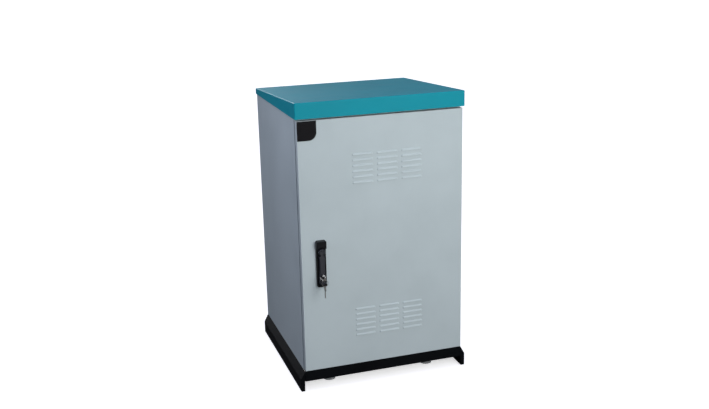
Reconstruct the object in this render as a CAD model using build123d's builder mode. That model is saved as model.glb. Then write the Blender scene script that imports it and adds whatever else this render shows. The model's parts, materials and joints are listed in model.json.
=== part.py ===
from build123d import *
import os
from math import cos, hypot, radians, sqrt

# Free-standing sheet-metal utility cabinet: folded panels, a louvred door on concealed hinges,
# a swing handle that drives two latch rods, a sloped hat and a base of two skid rails.
# X runs along the front, the front faces -Y, Z is up. The origin is on the ground,
# at the centre of the four anchor holes. All lengths are in millimetres.

os.makedirs("parts", exist_ok=True)

# Overall sizes
body_width = 600.0
body_depth = 576.0
body_height = 907.0
base_height = 76.0
panel_sheet = 1.5
panel_bend = 1.5
base_sheet = 2.5
base_bend = 2.5
overrun = 5.0

# Skid rails and bars of the base
skid_out = 16.0
skid_slope = 29.0
skid_foot = 14.0
skid_setback = 5.0
skid_top_flange = 45.0
skid_relief_gap = 6.0
bar_setback = 3.0
bar_height = 39.0
bar_top_flange = 60.0
bar_bottom_flange = 25.0
bar_end_gap = 2.5
anchor_inset = 30.0
anchor_setback = 128.0
anchor_radius = 7.0
anchor_tab_margin = 25.0
anchor_tab_length = 60.0

# Fasteners of the base and levelling feet
base_bolt_radius = 4.0
base_bolt_head = 13.0
base_bolt_head_height = 5.5
base_nut_height = 6.5
bolt_tail = 3.0
hole_clearance = 0.3
nut_clearance = 0.1
skid_bolt_inset = 25.0
skid_bolt_spacing = 240.0
bar_bolt_inset = 150.0
bar_bolt_edge = 12.0
foot_inset = 110.0
foot_setback = 80.0
foot_pad_radius = 22.0
foot_pad_rim = 4.0
foot_pad_edge = 1.5
foot_pad_height = 11.0
foot_neck_radius = 9.0
foot_collar_width = 17.0
foot_collar_height = 7.0
foot_stud_radius = 6.0
foot_nut_width = 18.0
foot_nut_height = 9.0

# Hat over the body
hat_front_height = 55.0
hat_back_height = 21.0
hat_side_overhang = 4.0
hat_front_overhang = 4.7
hat_back_overhang = 3.0
hat_lap = 10.0
hat_bend = 2.5
hat_post_radius = 8.0
hat_post_inset_x = 90.0
hat_post_inset_y = 110.0
hat_bolt_radius = 3.0
hat_bolt_depth = 6.0
hat_bolt_head = 10.0
hat_bolt_head_height = 4.0

# Body panels and door frame
pan_flange = 25.0
rear_return = 22.0
return_gap = 2.5
frame_side = 28.5
frame_bottom = 30.0
frame_top = 40.0
seal_lip_depth = 14.5
back_screw_radius = 2.5
back_screw_head = 5.0
back_screw_head_height = 2.6
back_screw_rows = 4
back_screw_margin = 60.0
gland_opening_width = 260.0
gland_opening_depth = 110.0
gland_setback = 113.0
gland_plate_sheet = 2.0
gland_plate_lap = 20.0
gland_screw_radius = 2.5
gland_screw_head = 4.5
gland_screw_head_height = 2.5

# Door leaf
door_depth = 21.0
door_gap = 5.0
door_side_reveal = 2.0
door_bottom_reveal = 3.0
door_top_reveal = 7.0
door_hem = 12.0
door_edge_radius = 1.0
gasket_width = 12.0
seat_clearance = 0.3
badge_size = 66.0
badge_corner_radius = 27.0
badge_thickness = 2.0
badge_margin = 1.0

# Louvres pressed out of the door, and the filters behind them
louvre_columns = 3
louvre_rows = 6
louvre_left_margin = 190.0
louvre_right_margin = 154.0
louvre_column_gap = 15.0
louvre_row_pitch = 19.6
louvre_height = 7.0
louvre_depth = 3.0
louvre_bulge = 0.8
louvre_end_turn = 90.0
upper_louvre_drop = 177.0
lower_louvre_rise = 160.0
filter_lap = 8.0
filter_thickness = 8.0
filter_frame_rim = 8.0
filter_ear = 14.0
filter_stud_radius = 2.5
filter_nut_width = 8.0
filter_nut_height = 4.0

# Stiffeners inside the door
stiffener_width = 24.0
stiffener_foot = 7.0
stiffener_depth = 12.0
stiffener_inset = 60.0
stiffener_hole_radius = 4.0
stiffener_hole_pitch = 60.0
stiffener_gap = 20.0

# Hinges on the door's right edge
hinge_inset = 7.0
hinge_depth = 14.0
hinge_end_distance = 120.0
hinge_pin_radius = 3.0
hinge_pin_clearance = 0.06
knuckle_radius = 5.0
knuckle_height = 24.0
door_knuckle_height = 18.0
knuckle_gap = 0.4
hinge_leaf_sheet = 3.0
hinge_leaf_left = 16.0
hinge_leaf_right = 4.0
hinge_arm = 5.0
hinge_plate_left = 12.0
hinge_notch_front = 4.0
hinge_notch_gap = 2.0
hinge_pin_head_radius = 4.6
hinge_pin_head_height = 2.0

# Swing handle
handle_inset = 68.0
handle_width = 34.0
handle_bottom_rise = 314.5
handle_height = 166.0
handle_base = 8.0
handle_corner_radius = 4.0
hub_drop = 39.5
hub_radius = 12.0
hub_height = 13.7
hub_edge_radius = 3.0
hub_lift = 0.3
top_cap_height = 20.0
bottom_cap_height = 14.0
bottom_cap_width = 6.0
cap_edge_radius = 2.5
cap_clearance = 0.9
lever_width = 23.0
lever_waist = 18.0
lever_thickness = 11.4
lever_lift = 0.6
lever_shoulder = 14.0
lever_tip_gap = 2.5
lever_tip_radius = 8.0
lever_edge_radius = 2.0
lever_tongue = 10.0
lever_tongue_radius = 5.2
lever_pin_radius = 2.0
lever_pin_clearance = 0.06
lever_slot_clearance = 0.4
lever_pin_depth = 15.0
spindle_radius = 6.0
spindle_clearance = 0.06
door_spindle_hole = 9.0

# Lock, key and spare key
lock_rise = 36.0
plug_radius = 8.0
plug_clearance = 0.06
plug_flange_radius = 9.3
plug_flange = 1.2
plug_back_gap = 0.8
keyway_width = 2.4
keyway_height = 8.6
keyway_depth = 8.5
key_sheet = 2.0
key_blade_height = 8.0
key_blade_inset = 0.5
key_neck = 4.0
key_bow_radius = 11.0
key_hole_radius = 3.0
key_hole_offset = 6.5
key_ring_radius = 11.0
key_wire_radius = 0.9
key_wire_clearance = 0.3
spare_blade_length = 23.0
key_cuts = 4
key_cut_pitch = 4.5
key_cut_size = 2.6
key_cut_tilt = 45.0

# Latch behind the door
driver_reach = 20.0
driver_tilt = 45.0
driver_sway_share = 0.031
driver_sheet = 3.0
driver_arm = 14.0
driver_hub_radius = 10.5
driver_depth = 26.0
driver_square = 9.0
driver_square_clearance = 0.05
driver_pin_radius = 3.0
driver_pin_length = 6.5
driver_nut_width = 10.0
driver_nut_height = 4.5
driver_stud_radius = 3.0
rod_depth = 31.0
rod_sheet = 3.0
rod_width = 20.0
rod_end = 5.0
rod_end_gap = 0.6
rod_slot_clearance = 0.35
guide_wall = 3.6
guide_clearance = 0.3
guide_height = 16.0
guide_near = 110.0
guide_far = 60.0

# Equipment posts, rails and earth bar
rack_side_room = 75.0
rack_hole_edge = 7.55
rack_pitch = 44.45
rack_hole_step = 15.875
rack_holes_per_unit = 3
rack_hole = 9.5
post_sheet = 2.0
post_face = 25.0
post_side = 40.0
post_margin = 12.0
front_post_setback = 75.0
rear_post_setback = 81.0
depth_rail_height = 25.0
depth_rail_sheet = 2.0
depth_rail_end = 40.0
earth_bar_length = 200.0
earth_bar_height = 20.0
earth_bar_thickness = 5.0
earth_bar_rise = 60.0
earth_bar_hole_radius = 3.25
earth_bar_holes = 6
earth_bar_hole_pitch = 25.0
earth_spacer_radius = 8.0
earth_spacer_length = 20.0
earth_spacer_inset = 15.0

# Places that follow from the sizes above
half_width = body_width / 2
door_face_y = -body_depth / 2
body_back_y = body_depth / 2
door_inner_y = door_face_y + panel_sheet
body_front_y = door_face_y + door_depth + door_gap
frame_front_y = body_front_y + panel_sheet
frame_back_y = frame_front_y + panel_sheet
back_inner_y = body_back_y - panel_sheet
return_inner_y = back_inner_y - panel_sheet
hat_bottom_z = base_height + body_height
body_top_z = hat_bottom_z + hat_lap
floor_top_z = base_height + panel_sheet
roof_under_z = body_top_z - panel_sheet
side_inner_x = half_width - panel_sheet
opening_half = side_inner_x - frame_side
opening_low_z = base_height + frame_bottom
opening_high_z = body_top_z - frame_top
lip_front_y = frame_front_y - seal_lip_depth
door_left_x = -half_width + door_side_reveal
door_right_x = half_width - door_side_reveal
door_low_z = base_height + door_bottom_reveal
door_high_z = hat_bottom_z - door_top_reveal


def front_plane(y):
    """Plane that faces the front at the given Y: sketch X is X, sketch Y is Z."""
    return Plane.XZ.offset(-y)


def span_rectangle(left, right, low, high, mode=Mode.ADD):
    """Rectangle between two sides and two heights of the current sketch."""
    with Locations(((left + right) / 2, (low + high) / 2)):
        Rectangle(right - left, high - low, mode=mode)


def ring_sketch(left, right, low, high, rim):
    """Rectangular ring: the outer sides are given, and the width of its rim."""
    span_rectangle(left, right, low, high)
    span_rectangle(left + rim, right - rim, low + rim, high - rim, mode=Mode.SUBTRACT)


def round_bends(profile, places, radius):
    """Rounds the outer side of a folded profile at the given corners of its sketch."""
    fillet([profile.vertices().sort_by_distance(place)[0] for place in places], radius=radius)


def hex_bolt(radius, length, head_width, head_height):
    """Hexagon bolt along Z: the head is below the origin, the shank above."""
    with BuildPart() as bolt:
        with BuildSketch(Plane.XY.offset(-head_height)):
            RegularPolygon(head_width / 2, side_count=6, major_radius=False)
        extrude(amount=head_height)
        with BuildSketch(Plane.XY):
            Circle(radius)
        extrude(amount=length)
    return bolt.part


def hex_nut(radius, width, height):
    """Hexagon nut along Z that sits on the origin."""
    with BuildPart() as nut:
        with BuildSketch(Plane.XY):
            RegularPolygon(width / 2, side_count=6, major_radius=False)
            Circle(radius + nut_clearance, mode=Mode.SUBTRACT)
        extrude(amount=height)
    return nut.part


def pan_screw(radius, length, head_radius, head_height):
    """Low domed screw along Z: the head is above the origin, the shank below."""
    with BuildPart() as screw:
        with BuildSketch(Plane.XY):
            Circle(head_radius)
        extrude(amount=head_height)
        chamfer(screw.faces().sort_by(Axis.Z)[-1].edges(), length=head_height / 2)
        with BuildSketch(Plane.XY):
            Circle(radius)
        extrude(amount=-length)
    return screw.part


def keep(piece, node):
    """Names a finished piece and writes it to its own file."""
    piece.part.label = node
    export_step(piece.part, f"parts/{node}.step")


# Base: two folded skid rails
skid_outer_x = half_width + skid_out
skid_front_y = door_face_y + skid_setback
skid_length = body_depth - skid_setback
skid_back_y = skid_front_y + skid_length
skid_relief = bar_setback + bar_top_flange + skid_relief_gap - skid_setback
base_flange_under_z = base_height - base_sheet
anchor_x = half_width - anchor_inset
anchor_y = body_depth / 2 - anchor_setback
anchor_tab_inner_x = anchor_x - anchor_tab_margin
skid_bolt_x = half_width - skid_bolt_inset
skid_bolt_places = [(x, y) for x in (-skid_bolt_x, skid_bolt_x)
                    for y in (-skid_bolt_spacing / 2, skid_bolt_spacing / 2)]
bar_bolt_y = body_depth / 2 - bar_setback - bar_top_flange + bar_bolt_edge
bar_bolt_x = half_width - bar_bolt_inset
bar_bolt_places = [(x, y) for x in (-bar_bolt_x, bar_bolt_x)
                   for y in (-bar_bolt_y, bar_bolt_y)]
base_bolt_places = skid_bolt_places + bar_bolt_places
skid_bends = [(-skid_outer_x, base_height - skid_slope), (-skid_outer_x, 0)]

with BuildPart() as left_skid_rail:
    with BuildSketch(front_plane(skid_front_y)) as skid_profile:
        with BuildLine():
            skid_line = Polyline(
                (-half_width + skid_top_flange, base_height),
                (-half_width, base_height),
                (-skid_outer_x, base_height - skid_slope),
                (-skid_outer_x, 0),
                (-skid_outer_x + skid_foot, 0),
            )
            offset(skid_line, amount=base_sheet, side=Side.LEFT, kind=Kind.INTERSECTION)
        make_face()
        round_bends(skid_profile, skid_bends, base_bend)
    extrude(amount=-skid_length)
    # the top flange stops short of both bars
    for end_y in (skid_front_y, skid_back_y - skid_relief):
        with BuildSketch(Plane.XY.offset(base_height)):
            span_rectangle(-half_width, -half_width + skid_top_flange + overrun,
                           end_y, end_y + skid_relief)
        extrude(amount=-base_sheet, mode=Mode.SUBTRACT)
    # both ends are closed by a folded flap
    for end_y in (skid_front_y, skid_back_y - base_sheet):
        with BuildSketch(front_plane(end_y)) as skid_flap:
            with BuildLine():
                Polyline(
                    (-half_width, base_height),
                    (-skid_outer_x, base_height - skid_slope),
                    (-skid_outer_x, 0),
                    (-skid_outer_x + skid_foot, 0),
                    close=True,
                )
            make_face()
            round_bends(skid_flap, skid_bends, base_bend)
        extrude(amount=-base_sheet)
    # two wide tabs of the bottom flange carry the anchor holes
    with BuildSketch(Plane.XY):
        for tab_y in (-anchor_y, anchor_y):
            span_rectangle(-skid_outer_x + base_sheet, -anchor_tab_inner_x,
                           tab_y - anchor_tab_length / 2, tab_y + anchor_tab_length / 2)
            with Locations((-anchor_x, tab_y)):
                Circle(anchor_radius, mode=Mode.SUBTRACT)
    extrude(amount=base_sheet)
    with BuildSketch(Plane.XY.offset(base_height)):
        with Locations(*skid_bolt_places):
            Circle(base_bolt_radius + hole_clearance)
    extrude(amount=-base_sheet, mode=Mode.SUBTRACT)
keep(left_skid_rail, "left_skid_rail")

with BuildPart() as right_skid_rail:
    add(mirror(left_skid_rail.part, about=Plane.YZ))
keep(right_skid_rail, "right_skid_rail")

# Base: channel bars under the front and the back
bar_front_y = door_face_y + bar_setback
bar_low_z = base_height - bar_height
with BuildPart() as front_bar:
    with BuildSketch(Plane.YZ) as bar_profile:
        with BuildLine():
            bar_line = Polyline(
                (bar_front_y + bar_top_flange, base_height),
                (bar_front_y, base_height),
                (bar_front_y, bar_low_z),
                (bar_front_y + bar_bottom_flange, bar_low_z),
            )
            offset(bar_line, amount=base_sheet, side=Side.LEFT, kind=Kind.INTERSECTION)
        make_face()
        round_bends(bar_profile, [(bar_front_y, base_height), (bar_front_y, bar_low_z)], base_bend)
    extrude(amount=half_width - bar_end_gap, both=True)
    with BuildSketch(Plane.XY.offset(base_height)):
        with Locations(*bar_bolt_places):
            Circle(base_bolt_radius + hole_clearance)
    extrude(amount=-base_sheet, mode=Mode.SUBTRACT)
keep(front_bar, "front_bar")

with BuildPart() as rear_bar:
    add(mirror(front_bar.part, about=Plane.XZ))
keep(rear_bar, "rear_bar")

# Base: bolts and nuts through the floor, and the levelling feet
base_bolt_length = base_sheet + panel_sheet + base_nut_height + bolt_tail
base_bolt = hex_bolt(base_bolt_radius, base_bolt_length, base_bolt_head, base_bolt_head_height)
with BuildPart() as base_bolts:
    with Locations(*[(x, y, base_flange_under_z) for x, y in base_bolt_places]):
        add(base_bolt)
keep(base_bolts, "base_bolts")

base_nut = hex_nut(base_bolt_radius, base_bolt_head, base_nut_height)
with BuildPart() as base_nuts:
    with Locations(*[(x, y, floor_top_z) for x, y in base_bolt_places]):
        add(base_nut)
keep(base_nuts, "base_nuts")

foot_y = body_depth / 2 - foot_setback
foot_x = half_width - foot_inset
foot_places = [(x, y) for x in (-foot_x, foot_x) for y in (-foot_y, foot_y)]
foot_stud_top_z = floor_top_z + foot_nut_height + bolt_tail
with BuildPart() as foot_pad:
    with BuildSketch(Plane.XZ):
        with BuildLine():
            Polyline(
                (0, 0),
                (foot_pad_radius, 0),
                (foot_pad_radius, foot_pad_rim),
                (foot_neck_radius, foot_pad_height),
                (0, foot_pad_height),
                close=True,
            )
        make_face()
    revolve(axis=Axis.Z)
    fillet(foot_pad.edges().filter_by(GeomType.CIRCLE).sort_by(Axis.Z)[1], radius=foot_pad_edge)

with BuildPart() as levelling_feet:
    with Locations(*[(x, y, 0) for x, y in foot_places]):
        add(foot_pad.part)
keep(levelling_feet, "levelling_feet")

with BuildPart() as levelling_studs:
    with BuildSketch(Plane.XY.offset(foot_pad_height)):
        with Locations(*foot_places):
            RegularPolygon(foot_collar_width / 2, side_count=6, major_radius=False)
    extrude(amount=foot_collar_height)
    with BuildSketch(Plane.XY.offset(foot_pad_height)):
        with Locations(*foot_places):
            Circle(foot_stud_radius)
    extrude(amount=foot_stud_top_z - foot_pad_height)
keep(levelling_studs, "levelling_studs")

foot_nut = hex_nut(foot_stud_radius, foot_nut_width, foot_nut_height)
with BuildPart() as levelling_nuts:
    for nut_z in (base_height - foot_nut_height, floor_top_z):
        with Locations(*[(x, y, nut_z) for x, y in foot_places]):
            add(foot_nut)
keep(levelling_nuts, "levelling_nuts")

# Body: floor pan with a covered cable opening
pan_mid_y = (frame_back_y + return_inner_y) / 2
pan_depth = return_inner_y - frame_back_y
gland_opening_y = body_back_y - gland_setback - gland_opening_depth / 2
gland_plate_width = gland_opening_width + gland_plate_lap + gland_plate_lap
gland_plate_depth = gland_opening_depth + gland_plate_lap + gland_plate_lap
gland_screw_x = (gland_opening_width + gland_plate_lap) / 2
gland_screw_y = (gland_opening_depth + gland_plate_lap) / 2
gland_screw_places = [(x, gland_opening_y + y) for x in (-gland_screw_x, 0, gland_screw_x)
                      for y in (-gland_screw_y, gland_screw_y)]

with BuildPart() as floor_pan:
    with BuildSketch(Plane.XY.offset(base_height)):
        with Locations((0, pan_mid_y)):
            Rectangle(2 * side_inner_x, pan_depth)
    extrude(amount=pan_flange)
    offset(amount=-panel_sheet, openings=floor_pan.faces().sort_by(Axis.Z)[-1],
           kind=Kind.INTERSECTION)
    with BuildSketch(Plane.XY.offset(floor_top_z)):
        with Locations(*base_bolt_places):
            Circle(base_bolt_radius + hole_clearance)
        with Locations(*foot_places):
            Circle(foot_stud_radius + hole_clearance)
        with Locations((0, gland_opening_y)):
            Rectangle(gland_opening_width, gland_opening_depth)
        with Locations(*gland_screw_places):
            Circle(gland_screw_radius + hole_clearance)
    extrude(amount=-panel_sheet, mode=Mode.SUBTRACT)
keep(floor_pan, "floor_pan")

gland_top_z = floor_top_z + gland_plate_sheet
with BuildPart() as gland_plate:
    with BuildSketch(Plane.XY.offset(floor_top_z)):
        with Locations((0, gland_opening_y)):
            Rectangle(gland_plate_width, gland_plate_depth)
        with Locations(*gland_screw_places):
            Circle(gland_screw_radius + hole_clearance, mode=Mode.SUBTRACT)
    extrude(amount=gland_plate_sheet)
keep(gland_plate, "gland_plate")

gland_screw = pan_screw(gland_screw_radius, gland_plate_sheet + panel_sheet + bolt_tail,
                        gland_screw_head, gland_screw_head_height)
with BuildPart() as gland_plate_screws:
    with Locations(*[(x, y, gland_top_z) for x, y in gland_screw_places]):
        add(gland_screw)
keep(gland_plate_screws, "gland_plate_screws")

# Body: roof pan, hung with its flanges down
hat_post_x = half_width - hat_post_inset_x
hat_post_y = body_depth / 2 - hat_post_inset_y
hat_post_places = [(x, y) for x in (-hat_post_x, hat_post_x) for y in (-hat_post_y, hat_post_y)]
with BuildPart() as roof_pan:
    with BuildSketch(Plane.XY.offset(body_top_z)):
        with Locations((0, pan_mid_y)):
            Rectangle(2 * side_inner_x, pan_depth)
    extrude(amount=-pan_flange)
    offset(amount=-panel_sheet, openings=roof_pan.faces().sort_by(Axis.Z)[0],
           kind=Kind.INTERSECTION)
    with BuildSketch(Plane.XY.offset(body_top_z)):
        with Locations(*hat_post_places):
            Circle(hat_bolt_radius + hole_clearance)
    extrude(amount=-panel_sheet, mode=Mode.SUBTRACT)
keep(roof_pan, "roof_pan")

# Body: side panels, each one sheet with a return at the front and at the back
back_screw_x = half_width - rear_return / 2
back_screw_span = body_height - back_screw_margin - back_screw_margin
back_screw_mid_z = base_height + body_height / 2
back_screw_step = back_screw_span / (back_screw_rows - 1)
back_screw_places = [(x, back_screw_mid_z - back_screw_span / 2 + row * back_screw_step)
                     for x in (-back_screw_x, back_screw_x) for row in range(back_screw_rows)]
with BuildPart() as left_side_panel:
    with BuildSketch(Plane.XY.offset(base_height)) as side_profile:
        with BuildLine():
            side_line = Polyline(
                (-opening_half - panel_sheet - return_gap, body_front_y),
                (-half_width, body_front_y),
                (-half_width, back_inner_y),
                (-half_width + rear_return, back_inner_y),
            )
            offset(side_line, amount=panel_sheet, side=Side.RIGHT, kind=Kind.INTERSECTION)
        make_face()
        round_bends(side_profile, [(-half_width, body_front_y), (-half_width, back_inner_y)], panel_bend)
    extrude(amount=body_top_z - base_height)
    with BuildSketch(front_plane(back_inner_y)):
        with Locations(*back_screw_places):
            Circle(back_screw_radius + hole_clearance)
    extrude(amount=panel_sheet, mode=Mode.SUBTRACT)
keep(left_side_panel, "left_side_panel")

with BuildPart() as right_side_panel:
    add(mirror(left_side_panel.part, about=Plane.YZ))
keep(right_side_panel, "right_side_panel")

# Body: back panel screwed to the side panels
with BuildPart() as back_panel:
    with BuildSketch(front_plane(back_inner_y)):
        span_rectangle(-half_width, half_width, base_height, body_top_z)
        with Locations(*back_screw_places):
            Circle(back_screw_radius + hole_clearance, mode=Mode.SUBTRACT)
    extrude(amount=-panel_sheet)
keep(back_panel, "back_panel")

back_screw = pan_screw(back_screw_radius, panel_sheet + panel_sheet + bolt_tail,
                       back_screw_head, back_screw_head_height)
with BuildPart() as back_panel_screws:
    with Locations(*[Plane(origin=(x, body_back_y, z), x_dir=(1, 0, 0), z_dir=(0, 1, 0))
                     for x, z in back_screw_places]):
        add(back_screw)
keep(back_panel_screws, "back_panel_screws")

# Body: door frame with a lip that presses into the door's gasket
with BuildPart() as door_frame:
    with BuildSketch(front_plane(frame_front_y)):
        span_rectangle(-side_inner_x, side_inner_x, base_height, body_top_z)
        span_rectangle(-opening_half, opening_half, opening_low_z, opening_high_z, mode=Mode.SUBTRACT)
    extrude(amount=-panel_sheet)
    with BuildSketch(front_plane(frame_back_y)):
        ring_sketch(-opening_half - panel_sheet, opening_half + panel_sheet,
                    opening_low_z - panel_sheet, opening_high_z + panel_sheet, panel_sheet)
    extrude(amount=seal_lip_depth + panel_sheet)
keep(door_frame, "door_frame")

# Hat: a folded tray whose top slopes down to the back
hat_front_y = door_face_y - hat_front_overhang
hat_back_y = body_back_y + hat_back_overhang
hat_half_width = half_width + hat_side_overhang
hat_run = hat_back_y - hat_front_y
hat_fall = hat_front_height - hat_back_height
hat_front_top_z = hat_bottom_z + hat_front_height
hat_drop = panel_sheet * hypot(hat_run, hat_fall) / hat_run
with BuildPart() as hat:
    with BuildSketch(Plane.YZ):
        with BuildLine():
            Polyline(
                (hat_front_y, hat_bottom_z),
                (hat_back_y, hat_bottom_z),
                (hat_back_y, hat_bottom_z + hat_back_height),
                (hat_front_y, hat_front_top_z),
                close=True,
            )
        make_face()
    extrude(amount=hat_half_width, both=True)
    fillet(hat.edges() - hat.faces().sort_by(Axis.Z)[0].edges(), radius=hat_bend)
    offset(amount=-panel_sheet, openings=hat.faces().sort_by(Axis.Z)[0], kind=Kind.INTERSECTION)
keep(hat, "hat")

hat_under_plane = Plane(origin=(0, hat_front_y, hat_front_top_z - hat_drop), x_dir=(1, 0, 0),
                        z_dir=(0, hat_fall, hat_run))
with BuildPart() as hat_posts:
    with BuildSketch(Plane.XY.offset(body_top_z)):
        with Locations(*hat_post_places):
            Circle(hat_post_radius)
            Circle(hat_bolt_radius + nut_clearance, mode=Mode.SUBTRACT)
    extrude(amount=hat_bolt_depth)
    with BuildSketch(Plane.XY.offset(body_top_z + hat_bolt_depth)):
        with Locations(*hat_post_places):
            Circle(hat_post_radius)
    extrude(amount=hat_front_height)
    split(bisect_by=hat_under_plane, keep=Keep.BOTTOM)
keep(hat_posts, "hat_posts")

hat_bolt = hex_bolt(hat_bolt_radius, panel_sheet + hat_bolt_depth - nut_clearance,
                    hat_bolt_head, hat_bolt_head_height)
with BuildPart() as hat_bolts:
    with Locations(*[(x, y, roof_under_z) for x, y in hat_post_places]):
        add(hat_bolt)
keep(hat_bolts, "hat_bolts")

# Louvre hood: pressed out of the sheet with a curved back and round ends, open below
louvre_field_left = door_left_x + louvre_left_margin
louvre_field_right = door_right_x - louvre_right_margin
louvre_offset = (louvre_field_left + louvre_field_right) / 2
louvre_column_pitch = (louvre_field_right - louvre_field_left + louvre_column_gap) / louvre_columns
louvre_length = louvre_column_pitch - louvre_column_gap
louvre_run = louvre_length / 2 - louvre_depth
hood_wall_z = panel_sheet * hypot(louvre_height, louvre_depth) / louvre_depth
slot_height = louvre_height - hood_wall_z
slot_depth = louvre_depth - panel_sheet


def hood_form(depth, height):
    """Louvre form in front of the XZ plane: a straight run with a quarter turn at each end."""
    with BuildPart() as form:
        with BuildSketch(Plane.YZ.offset(louvre_run)) as profile:
            with BuildLine():
                SagittaArc((-depth, 0), (0, height), louvre_bulge)
                Polyline((0, height), (0, 0), (-depth, 0))
            make_face()
        extrude(amount=-louvre_run)
        revolve(profile.sketch, axis=Axis((louvre_run, 0, 0), (0, 0, 1)), revolution_arc=louvre_end_turn)
        mirror(about=Plane.YZ)
    return form.part


with BuildPart() as louvre_hood:
    add(hood_form(louvre_depth, louvre_height))
    add(hood_form(slot_depth, slot_height), mode=Mode.SUBTRACT)

with BuildSketch() as louvre_slot:
    with BuildLine():
        SagittaArc((louvre_run + slot_depth, 0), (louvre_run, slot_height), -louvre_bulge)
        Line((louvre_run, slot_height), (-louvre_run, slot_height))
        SagittaArc((-louvre_run, slot_height), (-louvre_run - slot_depth, 0), -louvre_bulge)
        Line((-louvre_run - slot_depth, 0), (louvre_run + slot_depth, 0))
    make_face()

upper_louvre_z = door_high_z - upper_louvre_drop
lower_louvre_z = door_low_z + lower_louvre_rise
louvre_places = []
for field_z in (upper_louvre_z, lower_louvre_z):
    for column in range(louvre_columns):
        for row in range(louvre_rows):
            place_x = louvre_offset + (column - (louvre_columns - 1) / 2) * louvre_column_pitch
            place_z = field_z + (row - (louvre_rows - 1) / 2) * louvre_row_pitch
            louvre_places.append((place_x, place_z - louvre_height / 2))

# Filter places behind the two louvre fields
filter_half_x = (louvre_field_right - louvre_field_left) / 2 + filter_lap
filter_half_z = (louvre_rows - 1) / 2 * louvre_row_pitch + louvre_height / 2 + filter_lap
filter_stud_x = filter_half_x + filter_ear / 2
filter_stud_z = filter_half_z - filter_ear / 2
filter_back_y = door_inner_y + filter_thickness
filter_frame_back_y = filter_back_y + panel_sheet
filter_stud_length = filter_thickness + panel_sheet + filter_nut_height + bolt_tail
filter_stud_places = [(louvre_offset + x, field_z + z) for field_z in (upper_louvre_z, lower_louvre_z)
                      for x in (-filter_stud_x, filter_stud_x) for z in (-filter_stud_z, filter_stud_z)]

# Hinge and handle places that the door leaf is cut for
hinge_x = door_right_x - hinge_inset
hinge_y = door_face_y + hinge_depth
hinge_heights = {"lower": door_low_z + hinge_end_distance, "upper": door_high_z - hinge_end_distance}
handle_x = door_left_x + handle_inset
handle_low_z = door_low_z + handle_bottom_rise
handle_high_z = handle_low_z + handle_height
hub_z = handle_high_z - hub_drop

# Door: a folded pan with hemmed edges, hinge notches and pressed louvres
with BuildPart() as door_leaf:
    with BuildSketch(front_plane(door_face_y)):
        span_rectangle(door_left_x, door_right_x, door_low_z, door_high_z)
    extrude(amount=-door_depth)
    fillet(door_leaf.faces().sort_by(Axis.Y)[0].edges(), radius=door_edge_radius)
    with BuildSketch(front_plane(door_inner_y)):
        span_rectangle(door_left_x + panel_sheet, door_right_x - panel_sheet,
                       door_low_z + panel_sheet, door_high_z - panel_sheet)
    extrude(amount=panel_sheet + panel_sheet - door_depth, mode=Mode.SUBTRACT)
    with BuildSketch(front_plane(door_inner_y)):
        span_rectangle(door_left_x + door_hem, door_right_x - door_hem,
                       door_low_z + door_hem, door_high_z - door_hem)
    extrude(amount=-door_depth, mode=Mode.SUBTRACT)
    notch_half = knuckle_height / 2 + hinge_notch_gap
    with BuildSketch(front_plane(door_face_y + hinge_notch_front)):
        for hinge_z in hinge_heights.values():
            span_rectangle(door_right_x - door_hem - overrun, door_right_x + overrun,
                           hinge_z - notch_half, hinge_z + notch_half)
    extrude(amount=-door_depth, mode=Mode.SUBTRACT)
    with BuildSketch(front_plane(door_face_y)):
        with Locations((handle_x, hub_z)):
            Circle(door_spindle_hole)
        with Locations(*louvre_places):
            add(louvre_slot.sketch)
    extrude(amount=-panel_sheet, mode=Mode.SUBTRACT)
    with Locations(*[(x, door_face_y, z) for x, z in louvre_places]):
        add(louvre_hood.part)
    with BuildSketch(front_plane(door_inner_y)):
        with Locations(*filter_stud_places):
            Circle(filter_stud_radius)
    extrude(amount=-filter_stud_length)
keep(door_leaf, "door_leaf")

# Door: foam gasket that meets the frame's lip
gasket_side = (gasket_width - panel_sheet) / 2
with BuildPart() as door_gasket:
    with BuildSketch(front_plane(door_inner_y)):
        gasket_half = opening_half + panel_sheet + gasket_side
        ring_sketch(-gasket_half, gasket_half, opening_low_z - panel_sheet - gasket_side,
                    opening_high_z + panel_sheet + gasket_side, gasket_width)
    extrude(amount=-(lip_front_y - seat_clearance - door_inner_y))
keep(door_gasket, "door_gasket")

# Door: bare corner plate
badge_left_x = door_left_x + badge_margin
badge_high_z = door_high_z - badge_margin
with BuildPart() as badge_plate:
    with BuildSketch(front_plane(door_face_y)) as badge_outline:
        span_rectangle(badge_left_x, badge_left_x + badge_size, badge_high_z - badge_size, badge_high_z)
        fillet(badge_outline.vertices().group_by(Axis.Y)[0].sort_by(Axis.X)[-1],
               radius=badge_corner_radius)
    extrude(amount=badge_thickness)
keep(badge_plate, "badge_plate")

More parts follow.
